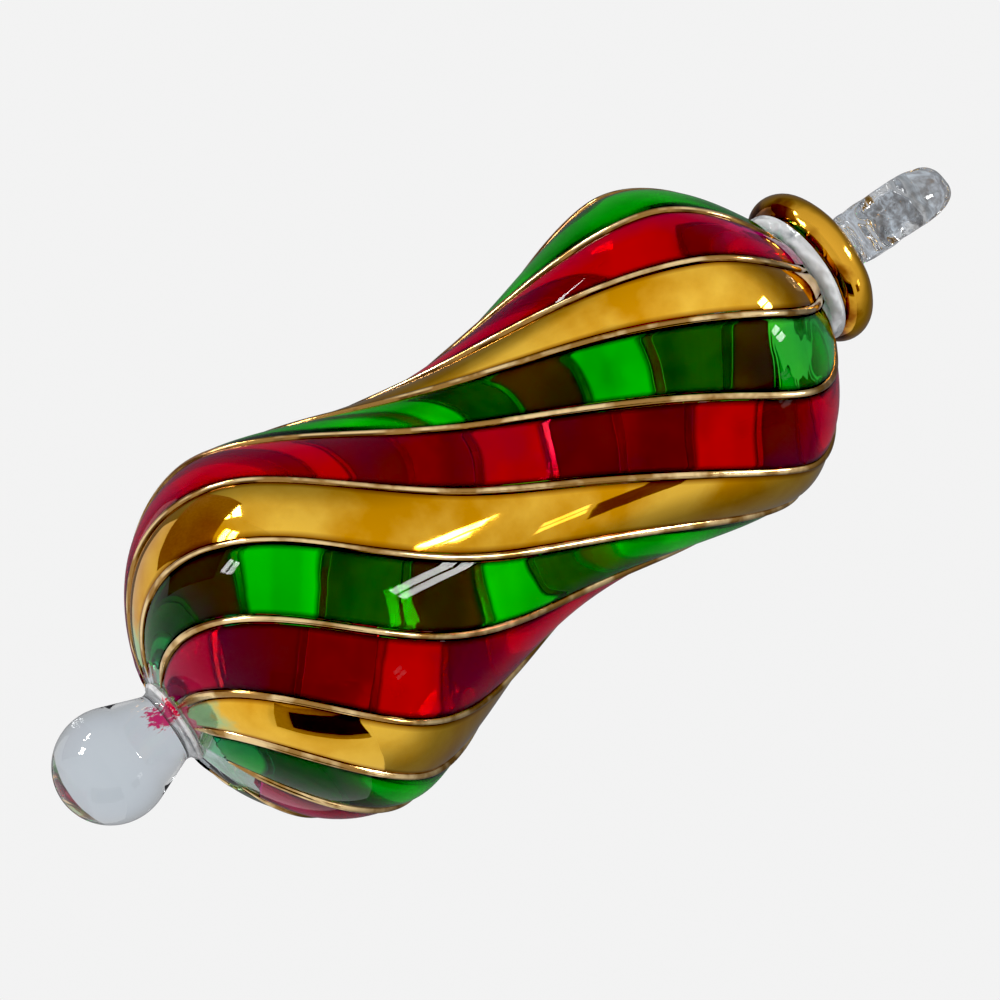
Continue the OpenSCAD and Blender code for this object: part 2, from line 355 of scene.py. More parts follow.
def shell(name, rows):
    """Closed shell from rows of (inner point, outer point) pairs, with its length and width as UVs.

    Its inner faces are seams.
    """
    last = len(rows) - 1
    flats = len(rows[0]) - 1
    points = [p for row in rows for pair in row for p in pair]
    uvs = [(i / last, j / flats) for i in range(last + 1) for j in range(flats + 1) for _ in range(2)]

    def inner(i, j):
        return 2 * (i * (flats + 1) + j)

    def outer(i, j):
        return inner(i, j) + 1

    faces = []
    for i in range(last):
        for j in range(flats):
            faces.append((inner(i, j), inner(i + 1, j), inner(i + 1, j + 1), inner(i, j + 1)))
    seams = range(len(faces))
    for i in range(last):
        for j in range(flats):
            faces.append((outer(i, j), outer(i, j + 1), outer(i + 1, j + 1), outer(i + 1, j)))
        faces.append((inner(i, 0), outer(i, 0), outer(i + 1, 0), inner(i + 1, 0)))
        faces.append((inner(i, flats), inner(i + 1, flats), outer(i + 1, flats), outer(i, flats)))
    for j in range(flats):
        faces.append((inner(0, j), inner(0, j + 1), outer(0, j + 1), outer(0, j)))
        faces.append((inner(last, j), outer(last, j), outer(last, j + 1), inner(last, j + 1)))
    return add_mesh(name, points, faces, uvs, seams)


def still(r, z, a):
    """No wobble."""
    return 0


def lathe_rings(outline, segments, wobble=still):
    """Points and faces of a turned form whose outline starts and ends on the axis.

    The faces come in rings of one face per segment, from the first outline point to the last.
    """
    points = [(0, 0, outline[0][1])]
    rings = outline[1:-1]
    for r, z in rings:
        for k in range(segments):
            a = 2 * math.pi * k / segments
            reach = r + wobble(r, z, a)
            points.append((reach * math.cos(a), reach * math.sin(a), z))
    points.append((0, 0, outline[-1][1]))
    top = len(points) - 1

    def at(i, k):
        return 1 + i * segments + k % segments

    faces = [(0, at(0, k + 1), at(0, k)) for k in range(segments)]
    for i in range(len(rings) - 1):
        faces += [(at(i, k), at(i, k + 1), at(i + 1, k + 1), at(i + 1, k)) for k in range(segments)]
    faces += [(top, at(len(rings) - 1, k), at(len(rings) - 1, k + 1)) for k in range(segments)]
    return points, faces


def torus(section, turns, place):
    """Points, faces and UVs of a bent rod. Place gives the point at turn angle a for section point b."""
    steps = len(section)
    points = [place(2 * math.pi * k / turns, p) for k in range(turns) for p in section]
    uvs = [(k / turns, j / steps) for k in range(turns) for j in range(steps)]
    faces = []
    for k in range(turns):
        for j in range(steps):
            k1 = (k + 1) % turns
            j1 = (j + 1) % steps
            faces.append((k * steps + j, k1 * steps + j, k1 * steps + j1, k * steps + j1))
    return points, faces, uvs


def arc(centre, radius, start, end, steps):
    """Points of an arc in the (radius, height) plane, angles in degrees from the outward direction."""
    angles = [math.radians(mix(start, end, i / steps)) for i in range(steps + 1)]
    return [(centre[0] + radius * math.cos(a), centre[1] + radius * math.sin(a)) for a in angles]


# Materials

BLACK = (0, 0, 0)
WHITE = (1, 1, 1)
GLASS_IOR = 1.5
# Where two pieces are melted together, light goes straight on
FUSED_IOR = 1
# How strongly stained glass and the inside of the body mirror, as a share of bare glass
STAIN_GLOSS = 0.25
INNER_GLOSS = 0.25
# Share of a stripe's width at each edge that is painted darker as shade beside the gold lines
STAIN_EDGE_SHADE_SHARE = 0.08
# Share of a gold stripe's width at each edge that is painted darker as shade beside the gold lines
GOLD_EDGE_SHADE_SHARE = 0.1
# How far the ends of the smear on the gold and of the ring's painted shade underneath drift
SMEAR_DRIFT = 0.05
RING_DRIFT = 0.2
# Where the loop's clear side and clear stem give way to specks, and where its painted shade at the tip
# starts
SIDE_FROM_X = -2
SIDE_TO_X = -0.5
STEM_FROM_Z = -8
STEM_TO_Z = -6
TIP_FROM_Z = 5
TIP_SHADE_SHARE = 0.8
# Scales of the noise: marks to a metre
GLASS_CLOUD = 160
SPLASH_STREAKS = 3200
STAIN_STREAKS = 110
# Gold's uneven colour: partly random tone, partly painted reflection of the room
GOLD_TONE_AND_REFLECTION = 90
GOLD_SMEAR = 350
GOLD_MOTTLE = 400
GOLD_WAVES = 140
BACK_CLOUD = 150
BACK_MOTTLE = 300
# Scale of the uneven edge of the ring's painted shade
RING_SHADE_BREAKUP = 260
RING_WAVES = 200
# Scale of the painted breaks in the lines' reflection
LINE_REFLECTION_BREAKS = 220
LINE_MOTTLE = 700
LINE_WAVES = 500
FROST_FLECKS = 300
FROST_MOTTLE = 260
FROST_WAVES = 420
LOOP_SPECKLE = 900
CARD_WEAVE = 60
PAPER_GRAIN = 40
WAVE_DETAIL = 2
# Sockets of a Mix node that blends colours
BLEND_FACTOR = 0
BLEND_FROM = 6
BLEND_TO = 7
BLEND_RESULT = 2


def grey(level):
    """Neutral colour of a brightness."""
    return level, level, level


def new_material(name):
    """Material with its nodes, links and shader."""
    material = bpy.data.materials.new(name)
    material.use_nodes = True
    nodes = material.node_tree.nodes
    shader = nodes["Principled BSDF"]
    return material, nodes, material.node_tree.links, shader


def add_place(nodes, links, operation, vector):
    """The object's own coordinates after a vector operation with a set vector."""
    place = nodes.new("ShaderNodeTexCoord")
    maths = nodes.new("ShaderNodeVectorMath")
    maths.operation = operation
    maths.inputs[1].default_value = vector
    links.new(place.outputs["Object"], maths.inputs[0])
    return maths.outputs


def add_noise(nodes, links, scale, detail=3, stretch=(1, 1, 1)):
    """Noise over the object's own coordinates. Returns its value output."""
    place = add_place(nodes, links, "MULTIPLY", stretch)
    texture = nodes.new("ShaderNodeTexNoise")
    texture.inputs["Scale"].default_value = scale
    texture.inputs["Detail"].default_value = detail
    links.new(place["Vector"], texture.inputs["Vector"])
    return texture.outputs["Fac"]


def add_ramp(nodes, links, value, stops):
    """Colour ramp over a value. Stops are (position, colour) pairs."""
    ramp = nodes.new("ShaderNodeValToRGB")
    while len(ramp.color_ramp.elements) < len(stops):
        ramp.color_ramp.elements.new(1)
    for element, (position, colour) in zip(ramp.color_ramp.elements, stops):
        element.position = position
        element.color = (*colour, 1)
    links.new(value, ramp.inputs["Fac"])
    return ramp.outputs["Color"]


def add_maths(nodes, links, operation, first, second):
    """Result of a maths operation on two values."""
    maths = nodes.new("ShaderNodeMath")
    maths.operation = operation
    links.new(first, maths.inputs[0])
    links.new(second, maths.inputs[1])
    return maths.outputs["Value"]


def add_range(nodes, links, value, low, high, start=0, end=1):
    """Maps a value from start..end to low..high."""
    ranged = nodes.new("ShaderNodeMapRange")
    ranged.inputs["From Min"].default_value = start
    ranged.inputs["From Max"].default_value = end
    ranged.inputs["To Min"].default_value = low
    ranged.inputs["To Max"].default_value = high
    links.new(value, ranged.inputs["Value"])
    return ranged.outputs["Result"]


def add_bump(nodes, links, shader, scale, depth, strength):
    """Waves on a surface, with a depth in millimetres."""
    bump = nodes.new("ShaderNodeBump")
    bump.inputs["Distance"].default_value = depth * MM
    bump.inputs["Strength"].default_value = strength
    links.new(add_noise(nodes, links, scale, WAVE_DETAIL), bump.inputs["Height"])
    links.new(bump.outputs["Normal"], shader.inputs["Normal"])


def add_mottle(nodes, links, shader, scale, low, high, detail=4):
    """Roughness that varies from low to high over a surface."""
    mottle = add_noise(nodes, links, scale, detail)
    links.new(add_range(nodes, links, mottle, low, high), shader.inputs["Roughness"])


def add_across(nodes, links):
    """Length and width outputs of a piece's own UVs."""
    uv = nodes.new("ShaderNodeUVMap")
    uv.uv_map = "across"
    split = nodes.new("ShaderNodeSeparateXYZ")
    links.new(uv.outputs["UV"], split.inputs["Vector"])
    return split.outputs["X"], split.outputs["Y"]


def new_blend(nodes, links, factor, colour):
    """Mix node that blends a colour output towards its second colour."""
    blend = nodes.new("ShaderNodeMix")
    blend.data_type = "RGBA"
    links.new(factor, blend.inputs[BLEND_FACTOR])
    links.new(colour, blend.inputs[BLEND_FROM])
    return blend


def blend_to(nodes, links, factor, colour, target):
    """Mixes a colour output towards a set colour."""
    blend = new_blend(nodes, links, factor, colour)
    blend.inputs[BLEND_TO].default_value = (*target, 1)
    return blend.outputs[BLEND_RESULT]


def set_glass(shader, ior, clearness=1, gloss=1):
    """Makes a shader smooth glass. Clearness is the share of light that it lets through unscattered."""
    shader.inputs["Roughness"].default_value = 0
    shader.inputs["Transmission Weight"].default_value = clearness
    shader.inputs["IOR"].default_value = ior
    shader.inputs["Specular Tint"].default_value = (gloss, gloss, gloss, 1)


def add_splash(nodes, links, colour, splash):
    """Streaky splash of stain that ran from the foot, over a colour output."""
    distance = add_place(nodes, links, "DISTANCE", SPLASH_AT * MM)["Value"]
    near = add_range(nodes, links, distance, 1, 0, 0, SPLASH_R * MM)
    streaks = add_noise(nodes, links, SPLASH_STREAKS, stretch=(1, 1, 0.25))
    both = add_maths(nodes, links, "ADD", near, streaks)
    mask = add_ramp(nodes, links, both, [(0.84, BLACK), (1, WHITE)])
    return blend_to(nodes, links, mask, colour, splash)


def clear_glass(name, low, high, ior=GLASS_IOR, gloss=1, splash=None):
    """Clear blown glass with faint grey cloud and perhaps a splash of stain."""
    material, nodes, links, shader = new_material(name)
    colour = add_ramp(nodes, links, add_noise(nodes, links, GLASS_CLOUD), [(0.3, low), (0.7, high)])
    if splash:
        colour = add_splash(nodes, links, colour, splash)
    links.new(colour, shader.inputs["Base Color"])
    set_glass(shader, ior, gloss=gloss)
    return material


def add_edges(nodes, links, width, share):
    """White along both edges of a stripe, over a share of its width, and black between."""
    stops = [(0, WHITE), (share, BLACK), (1 - share, BLACK), (1, WHITE)]
    return add_ramp(nodes, links, width, stops)


def stained_glass(name, stain, ior=GLASS_IOR):
    """Transparent stain: uneven, cooler at its ends and seen aslant, with painted shade along its edges.
    """
    material, nodes, links, shader = new_material(name)
    length, width = add_across(nodes, links)
    streaks = add_noise(nodes, links, STAIN_STREAKS, detail=2)
    colour = add_ramp(nodes, links, streaks, [(0.38, stain["full"]), (0.56, stain["thin"])])
    end_stops = [(0.04, WHITE), (0.2, BLACK), (0.86, BLACK), (0.98, WHITE)]
    at_ends = add_ramp(nodes, links, length, end_stops)
    colour = blend_to(nodes, links, at_ends, colour, stain["ends"])
    slant = nodes.new("ShaderNodeLayerWeight")
    aslant = add_ramp(nodes, links, slant.outputs["Facing"], [(0.3, BLACK), (0.75, WHITE)])
    colour = blend_to(nodes, links, aslant, colour, stain["deep"])
    # Painted shade: darker along both edges, beside the raised gold lines
    shaded_edges = add_edges(nodes, links, width, STAIN_EDGE_SHADE_SHARE)
    links.new(blend_to(nodes, links, shaded_edges, colour, stain["edge_shade"]), shader.inputs["Base Color"])
    set_glass(shader, ior, stain["clearness"], STAIN_GLOSS)
    return material


def gold_lustre(name, deep, pale, smear, painted_edge_shade):
    """Fired gold: uneven in colour, partly as painted reflection of the room, and in gloss, with painted
    shade at its edges, smeared with stain at the foot.
    """
    material, nodes, links, shader = new_material(name)
    length, width = add_across(nodes, links)
    # Uneven colour: partly random tone, partly painted reflection of the room
    cloud_noise = add_noise(nodes, links, GOLD_TONE_AND_REFLECTION, detail=5)
    cloud = add_ramp(nodes, links, cloud_noise, [(0.36, deep), (0.6, pale)])
    smear_noise = add_noise(nodes, links, GOLD_SMEAR)
    drift = add_range(nodes, links, smear_noise, -SMEAR_DRIFT, SMEAR_DRIFT)
    from_foot = add_maths(nodes, links, "ADD", length, drift)
    at_foot = add_ramp(nodes, links, from_foot, [(0.02, WHITE), (0.05, BLACK)])
    smeared = blend_to(nodes, links, at_foot, cloud, smear)
    # Painted shade: both edges darkened beside the raised gold lines
    edges = add_edges(nodes, links, width, GOLD_EDGE_SHADE_SHARE)
    links.new(blend_to(nodes, links, edges, smeared, painted_edge_shade), shader.inputs["Base Color"])
    add_mottle(nodes, links, shader, GOLD_MOTTLE, 0.02, 0.08)
    add_bump(nodes, links, shader, GOLD_WAVES, 0.2, 0.25)
    shader.inputs["Metallic"].default_value = 1
    shader.inputs["Coat Weight"].default_value = 0.25
    return material


def gold_back(name, dark, light):
    """Back of the fired gold, seen through the glass: dull and cloudy."""
    material, nodes, links, shader = new_material(name)
    cloud_noise = add_noise(nodes, links, BACK_CLOUD, detail=4)
    cloud = add_ramp(nodes, links, cloud_noise, [(0.35, dark), (0.65, light)])
    links.new(cloud, shader.inputs["Base Color"])
    add_mottle(nodes, links, shader, BACK_MOTTLE, 0.2, 0.5, detail=3)
    shader.inputs["Metallic"].default_value = 0.8
    return material


def ring_lustre(name, rim, underside_reflection, shade):
    """Gold of the ring: amber on its rim, painted brown and dark underneath as the reflection of the
    dark body.
    """
    material, nodes, links, shader = new_material(name)
    _, around = add_across(nodes, links)
    # Uneven edge of the painted shade underneath
    drift = add_range(nodes, links, add_noise(nodes, links, RING_SHADE_BREAKUP), -RING_DRIFT, RING_DRIFT)
    uneven = add_maths(nodes, links, "ADD", around, drift)
    # Underside painted brown and dark as the reflection of the dark body below
    stops = [(0, shade), (0.3, shade), (0.36, underside_reflection), (0.44, rim), (1, rim)]
    links.new(add_ramp(nodes, links, uneven, stops), shader.inputs["Base Color"])
    add_mottle(nodes, links, shader, GOLD_MOTTLE, 0.03, 0.12)
    add_bump(nodes, links, shader, RING_WAVES, 0.4, 0.4)
    shader.inputs["Metallic"].default_value = 1
    return material


def gold_line(name, top, edge, dimmed_reflection):
    """Raised gold line: pale on its top, with painted shade along its edges and painted breaks in its
    reflection.
    """
    material, nodes, links, shader = new_material(name)
    _, width = add_across(nodes, links)
    # Edges painted dark as shade where the line meets the stripes
    across = add_ramp(nodes, links, width, [(0, edge), (0.06, top), (0.74, top), (0.84, edge)])
    # Random darker patches: painted breaks in the line's reflection
    reflection_breaks = add_ramp(nodes, links, add_noise(nodes, links, LINE_REFLECTION_BREAKS), [(0.42, WHITE), (0.56, BLACK)])
    links.new(blend_to(nodes, links, reflection_breaks, across, dimmed_reflection), shader.inputs["Base Color"])
    add_mottle(nodes, links, shader, LINE_MOTTLE, 0.08, 0.22)
    add_bump(nodes, links, shader, LINE_WAVES, 0.2, 0.25)
    shader.inputs["Metallic"].default_value = 1
    return material


def frosted_glass(name, clearness, dark, light, splash=None):
    """Lumpy worked glass: milky, with a few grey flecks and perhaps a splash of stain."""
    material, nodes, links, shader = new_material(name)
    flecks = add_noise(nodes, links, FROST_FLECKS, detail=4)
    colour = add_ramp(nodes, links, flecks, [(0.32, dark), (0.46, light)])
    if splash:
        colour = add_splash(nodes, links, colour, splash)
    links.new(colour, shader.inputs["Base Color"])
    set_glass(shader, GLASS_IOR, clearness)
    add_mottle(nodes, links, shader, FROST_MOTTLE, 0, 0.12, detail=3)
    add_bump(nodes, links, shader, FROST_WAVES, 0.5, 0.6)
    return material


def speckled_glass(name, clear, specks, tip):
    """Glass of the loop: clear at its stem and one side, speckled round the hole, darker at its tip as
    painted shade.
    """
    material, nodes, links, shader = new_material(name)
    speckle = add_noise(nodes, links, LOOP_SPECKLE, detail=4)
    place = nodes.new("ShaderNodeTexCoord")
    split = nodes.new("ShaderNodeSeparateXYZ")
    links.new(place.outputs["Object"], split.inputs["Vector"])
    spots = add_ramp(nodes, links, speckle, [(0.4, specks), (0.6, clear)])
    clear_side = add_range(nodes, links, split.outputs["X"], 1, 0, SIDE_FROM_X * MM, SIDE_TO_X * MM)
    with_side = blend_to(nodes, links, clear_side, spots, clear)
    near_stem = add_range(nodes, links, split.outputs["Z"], 1, 0, STEM_FROM_Z * MM, STEM_TO_Z * MM)
    with_stem = blend_to(nodes, links, near_stem, with_side, clear)
    # Painted shade: darker towards the tip, where the hole's end shows through
    near_tip = add_range(nodes, links, split.outputs["Z"], 0, TIP_SHADE_SHARE, TIP_FROM_Z * MM, EYE_R * MM)
    links.new(blend_to(nodes, links, near_tip, with_stem, tip), shader.inputs["Base Color"])
    set_glass(shader, GLASS_IOR)
    return material


CLEAR_LOW = (0.9, 0.93, 0.93)
CLEAR_HIGH = (0.97, 0.98, 0.98)
BODY_GLASS = clear_glass("body_glass", CLEAR_LOW, CLEAR_HIGH)
BODY_SEAM = clear_glass("body_seam", CLEAR_LOW, CLEAR_HIGH, FUSED_IOR)
BODY_INNER = clear_glass("body_inner", CLEAR_LOW, CLEAR_HIGH, gloss=INNER_GLOSS)
BALL_LOW = (0.88, 0.91, 0.93)
BALL_HIGH = (0.95, 0.96, 0.97)
SPLASH = (0.75, 0.004, 0.05)
BALL_GLASS = clear_glass("ball_glass", BALL_LOW, BALL_HIGH, splash=SPLASH)
WELD_GLASS = frosted_glass("weld_glass", 0.25, (0.3, 0.31, 0.33), WHITE, SPLASH)
# Last colour: painted shade at the loop's tip
LOOP_GLASS = speckled_glass("loop_glass", (0.94, 0.97, 1), (0.36, 0.34, 0.33), (0.22, 0.23, 0.23))
NECK_GLASS = frosted_glass("neck_glass", 0.35, (0.4, 0.43, 0.46), (0.96, 0.98, 1))
RED = {
    "thin": (1, 0.012, 0.015),
    "full": (0.8, 0.006, 0.1),
    "deep": (0.95, 0.01, 0.4),
    "ends": (0.75, 0.01, 0.24),
    # Painted shade along the edges beside the gold lines
    "edge_shade": (0.06, 0.001, 0.008),
    "clearness": 0.95,
}
GREEN = {
    "thin": (0.11, 1, 0.05),
    "full": (0.06, 0.72, 0.06),
    "deep": (0.03, 0.55, 0.16),
    "ends": (0.03, 0.55, 0.25),
    # Painted shade along the edges beside the gold lines
    "edge_shade": (0.004, 0.04, 0.012),
    "clearness": 0.995,
}
# Darker and paler gold: partly random tone, partly painted reflection of the room
GOLD_DEEP = (0.72, 0.32, 0.008)
GOLD_PALE = (1, 0.6, 0.07)
GOLD_SMEARED = (0.4, 0.62, 0.3)
# Painted shade along the gold stripes' edges
GOLD_EDGE_SHADE = (0.3, 0.1, 0.006)
GOLD = gold_lustre("gold_lustre", GOLD_DEEP, GOLD_PALE, GOLD_SMEARED, GOLD_EDGE_SHADE)
STRIPE_MATERIALS = {
    "red": (stained_glass("red_stain", RED), stained_glass("red_seam", RED, FUSED_IOR)),
    "green": (stained_glass("green_stain", GREEN), stained_glass("green_seam", GREEN, FUSED_IOR)),
    "gold": (GOLD, gold_back("gold_back", (0.55, 0.3, 0.12), (0.95, 0.6, 0.3))),
}
# Under and shade colours: painted reflection of the dark body below the ring
RING_GOLD = ring_lustre("ring_gold", (0.8, 0.42, 0.05), (0.35, 0.12, 0.02), (0.1, 0.035, 0.01))
# Edge colour is painted shade; the last colour is the painted dimmer reflection in patches
LINE_GOLD = gold_line("line_gold", (0.95, 0.7, 0.36), (0.12, 0.06, 0.025), (0.4, 0.22, 0.07))
SLOTS = {"red": "red_glass", "gold": "gold_lustre", "green": "green_glass"}


def dress(piece, materials, slot, *nodes):
    """Gives a piece its materials and puts it on the body in place of its CAD nodes. Slot is not used.
    """
    for material in materials:
        piece.data.materials.append(material)
    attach(piece, "root")
    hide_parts(*nodes)
    return piece


# Pieces


def wander(i, z):
    """Slow drift of a hand-laid line."""
    return EDGE_DRIFT * noise.noise(Vector((i * LINE_STEP, 0, z / DRIFT_LENGTH)))


def ragged(i, v, end):
    """How far a stripe's brushed end runs on at one place across its width, from -1 to 1."""
    return noise.noise(Vector((i * STRIPE_STEP, BRUSH_MARKS * v, end * END_STEP)))


def swell(v):
    """Height of a stripe's rounded section across its width: 0 at the edges, 1 in the middle."""
    return 1 - (2 * v - 1) ** 2


def make_stripe(i):
    """Thin layer between two gold lines that swells along its middle and ends raggedly."""
    kind = KINDS[i % len(KINDS)]
    edge = RIB_W / 2 + SEAM_GAP
    columns = [j / STRIPE_COLS for j in range(STRIPE_COLS + 1)]
    first = [stripe_start(i) + RAGGED_FOOT * ragged(i, v, 1) for v in columns]
    last = [LAST_T + RAGGED_MOUTH * ragged(i, v, 2) for v in columns]
    rows = []
    for k in range(STRIPE_ROWS + 1):
        row = []
        for j, v in enumerate(columns):
            t = mix(first[j], last[j], k / STRIPE_ROWS)
            r, z = body_point(t)
            low = line_angle(i) + arc_degrees(edge + wander(i, z), r)
            high = line_angle(i + 1) - arc_degrees(edge - wander((i + 1) % STRIPES, z), r)
            thick = fade(z) * (STRIPE_T + CROWN_H * swell(v))
            row.append(on_body(t, twist(z) + mix(low, high, v), (SKIN_GAP, SKIN_GAP + thick)))
        rows.append(row)
    node = f"{kind}_stripe_{i // len(KINDS) + 1}"
    return dress(shell(f"{node}_layer", rows), STRIPE_MATERIALS[kind], SLOTS[kind], node)


def make_line(i):
    """Raised line with a rounded top that tapers at both ends."""
    rows = []
    for k in range(STRIPE_ROWS + 1):
        u = k / STRIPE_ROWS
        t = mix(line_start(i), LAST_T, u)
        r, z = body_point(t)
        taper = min(1, RIB_TIP + RIB_TIP_GROWTH * min(u, 1 - u))
        half = arc_degrees(RIB_W / 2 * taper, r)
        middle = twist(z) + line_angle(i) + arc_degrees(wander(i, z), r)
        row = []
        for j in range(RIB_COLS + 1):
            v = j / RIB_COLS
            rounded = mix(RIB_EDGE, 1, math.sin(math.pi * v) ** RIB_ROUNDNESS)
            thick = RIB_H * fade(z) * taper * rounded
            row.append(on_body(t, middle + mix(-half, half, v), (SKIN_GAP, SKIN_GAP + thick)))
        rows.append(row)
    node = f"rib_line_{i + 1}"
    return dress(shell(f"{node}_relief", rows), (LINE_GOLD, LINE_GOLD), "gold_line", node)


def inner_lobe(r, z, a):
    """The inner skin bulges inwards behind the middle of each stripe."""
    _, across = stripe_at(math.degrees(a), z)
    spot = Vector((r * math.cos(a), r * math.sin(a), z))
    ripple = RIPPLE * noise.noise(spot / RIPPLE_LENGTH)
    return ripple - INNER_LOBE * fade(z) * swell(across)


def inside_wall(t):
    """Profile point (radius, height) of the inner skin at t."""
    r, z = body_point(t)
    n = outward(t)
    return r - WALL * n[0], z - WALL * n[1]


def body_seams(ts):
    """Faces of the outer skin that a stripe or the ball covers. Profile steps ts bound its rings."""
    seams = list(range(TURNS))
    for ring, t in enumerate(ts[:-1], 1):
        for k in range(TURNS):
            stripe, _ = stripe_at(360 * (k + 0.5) / TURNS, body_point(t)[1])
            if stripe_start(stripe) <= t < LAST_T:
                seams.append(ring * TURNS + k)
    return seams


def make_body():
    """Hollow body of a closed outer skin and a closed inner one."""
    ts = [MOUTH_T * i / PROFILE_STEPS for i in range(PROFILE_STEPS + 1)]
    outer = [(0, FOOT_Z), *map(body_point, ts), (0, MOUTH_Z)]
    inner = [(0, FOOT_Z + WALL), *map(inside_wall, ts), (0, MOUTH_Z - WALL)]
    points, faces = lathe_rings(outer, TURNS)
    inner_points, inner_faces = lathe_rings(inner, TURNS, inner_lobe)
    shift = len(points)
    faces += [tuple(shift + v for v in reversed(f)) for f in inner_faces]
    piece = add_mesh("blown_body", points + inner_points, faces, seams=body_seams(ts))
    for face in piece.data.polygons[-len(inner_faces):]:
        face.material_index = 2
    return dress(piece, (BODY_GLASS, BODY_SEAM, BODY_INNER), "clear_glass", "glass_body")


def make_ball():
    """Solid ball that narrows to a short stem, melted onto the body's foot with a lumpy weld."""
    low_z = box_mm("drop_ball")[0].z
    centre = low_z + BALL_R
    weld_r = body_point(WELD_LAST_T)[0]
    stem_z = FOOT_Z - WELD_H - STEM_FILLET_R
    reach = math.hypot(BALL_STEM_R, stem_z - centre)
    tangent = math.degrees(math.atan2(stem_z - centre, BALL_STEM_R) - math.acos(BALL_R / reach))
    under_foot = [body_point(WELD_LAST_T * i / FOOT_STEPS) for i in range(FOOT_STEPS, -1, -1)]
    outline = [(0, low_z)]
    outline += arc((0, centre), BALL_R, -90, tangent, BALL_STEPS)[1:]
    fillet_at = (BALL_STEM_R + STEM_FILLET_R, stem_z)
    outline += arc(fillet_at, STEM_FILLET_R, 180 + tangent, STEM_FILLET_END, FILLET_STEPS)
    weld_from = len(outline)
    outline += [(weld_r, FOOT_Z - WELD_H / 2)]
    outline += [(r, z - SKIN_GAP) for r, z in under_foot]
    outline += [(0, FOOT_Z - SKIN_GAP)]

    def lumps(r, z, a):
        around = WELD_LUMP_RATE * Vector((math.cos(a), math.sin(a), 0))
        lump = WELD_LUMP * noise.noise(around + Vector((0, 0, z / WELD_LUMP_H)))
        return lump * ramp_up(z - stem_z, STEM_FILLET_R) * ramp_up(r, FOOT_R)

    points, faces = lathe_rings(outline, BALL_TURNS, lumps)
    welds = range((weld_from - 1) * BALL_TURNS, len(faces))
    piece = add_mesh("ball_drop", points, faces, seams=welds)
    return dress(piece, (BALL_GLASS, WELD_GLASS), "clear_glass", "drop_ball")


def make_neck():
    """Lumpy bead over the mouth, with a seat for the ring and the core that carries it."""
    bead_high = box_mm("neck_bead")[1]
    ring_low, ring_high = box_mm("gold_ring")
    ring_z = (ring_low.z + ring_high.z) / 2
    seat_r = (ring_high.z - ring_low.z) / 2 + SEAM_GAP
    ring_r = ring_high.x - seat_r
    foot = MOUTH_Z + SKIN_GAP
    top = bead_high.z - SKIN_GAP
    rim_r = (bead_high.x - CORE_R) / RIM_PARTS
    seat_end = math.degrees(math.acos((CORE_R - ring_r) / seat_r))
    outline = [(0, foot), *arc((bead_high.x - rim_r, foot + rim_r), rim_r, -90, RIM_END, RIM_STEPS)]
    outline += arc((ring_r, ring_z), seat_r, SEAT_START, -seat_end, SEAT_STEPS)
    outline += [(CORE_R, top), (0, top)]

    def lumps(r, z, a):
        around = Vector((math.cos(a), math.sin(a), 0))
        broad = BROAD_LUMP * noise.noise(BROAD_LUMP_RATE * around + Vector((0, 0, z / BROAD_LUMP_H)))
        fine = FINE_LUMP * noise.noise(FINE_LUMP_RATE * around + Vector((0, 0, z)))
        below_ring = ramp_up(ring_low.z + LUMP_FADE_H / 2 - z, LUMP_FADE_H)
        return (broad + fine) * below_ring * ramp_up(r, CORE_R)

    points, faces = lathe_rings(outline, TURNS, lumps)
    return dress(add_mesh("neck_collar", points, faces), (NECK_GLASS,), "clear_glass", "neck_bead")


def make_ring():
    """Gilded ring of slightly uneven section."""
    low, high = box_mm("gold_ring")
    bead_r = (high.z - low.z) / 2
    middle = (high.z + low.z) / 2
    ring_r = high.x - bead_r
    section = [math.pi + 2 * math.pi * j / ROD_STEPS for j in range(ROD_STEPS)]

    def place(a, b):
        around = Vector((math.cos(a), math.sin(a), 0))
        size = bead_r * (1 - RING_UNEVEN + RING_UNEVEN * noise.noise(RING_UNEVEN_RATE * around))
        reach = max(ring_r + size * math.cos(b), CORE_R + SEAM_GAP)
        return around * reach + Vector((0, 0, middle + size * math.sin(b)))

    points, faces, uvs = torus(section, TURNS, place)
    return dress(add_mesh("ring_bead", points, faces, uvs), (RING_GOLD,), "gold_lustre", "gold_ring")


def eye_rod():
    """Points and faces of the flattened rod bent round the eye's hole, which runs along X."""
    rod_r = (EYE_R - HOLE_R) / 2
    section = [-2 * math.pi * j / ROD_STEPS for j in range(ROD_STEPS)]

    def place(a, b):
        across = math.copysign(abs(math.sin(b)) ** EYE_FLATNESS, math.sin(b))
        reach = HOLE_R + rod_r * (1 + math.cos(b))
        return EYE_HALF_T * across, reach * math.sin(a), reach * math.cos(a)

    points, faces, _ = torus(section, EYE_TURNS, place)
    return points, faces


def melt(name, points, faces):
    """Mesh of overlapping closed forms that have run together into one smooth lump."""
    rough = add_mesh("loop_rough", points, faces)
    remesh = rough.modifiers.new("melt", "REMESH")
    remesh.mode = "VOXEL"
    remesh.voxel_size = MELT_GRAIN * MM
    smooth = rough.modifiers.new("smooth", "SMOOTH")
    smooth.iterations = MELT_PASSES
    bpy.context.view_layer.update()
    melted = bpy.data.meshes.new_from_object(rough.evaluated_get(bpy.context.evaluated_depsgraph_get()))
    bpy.data.objects.remove(rough)
    melted.name = name
    melted.shade_smooth()
    return melted


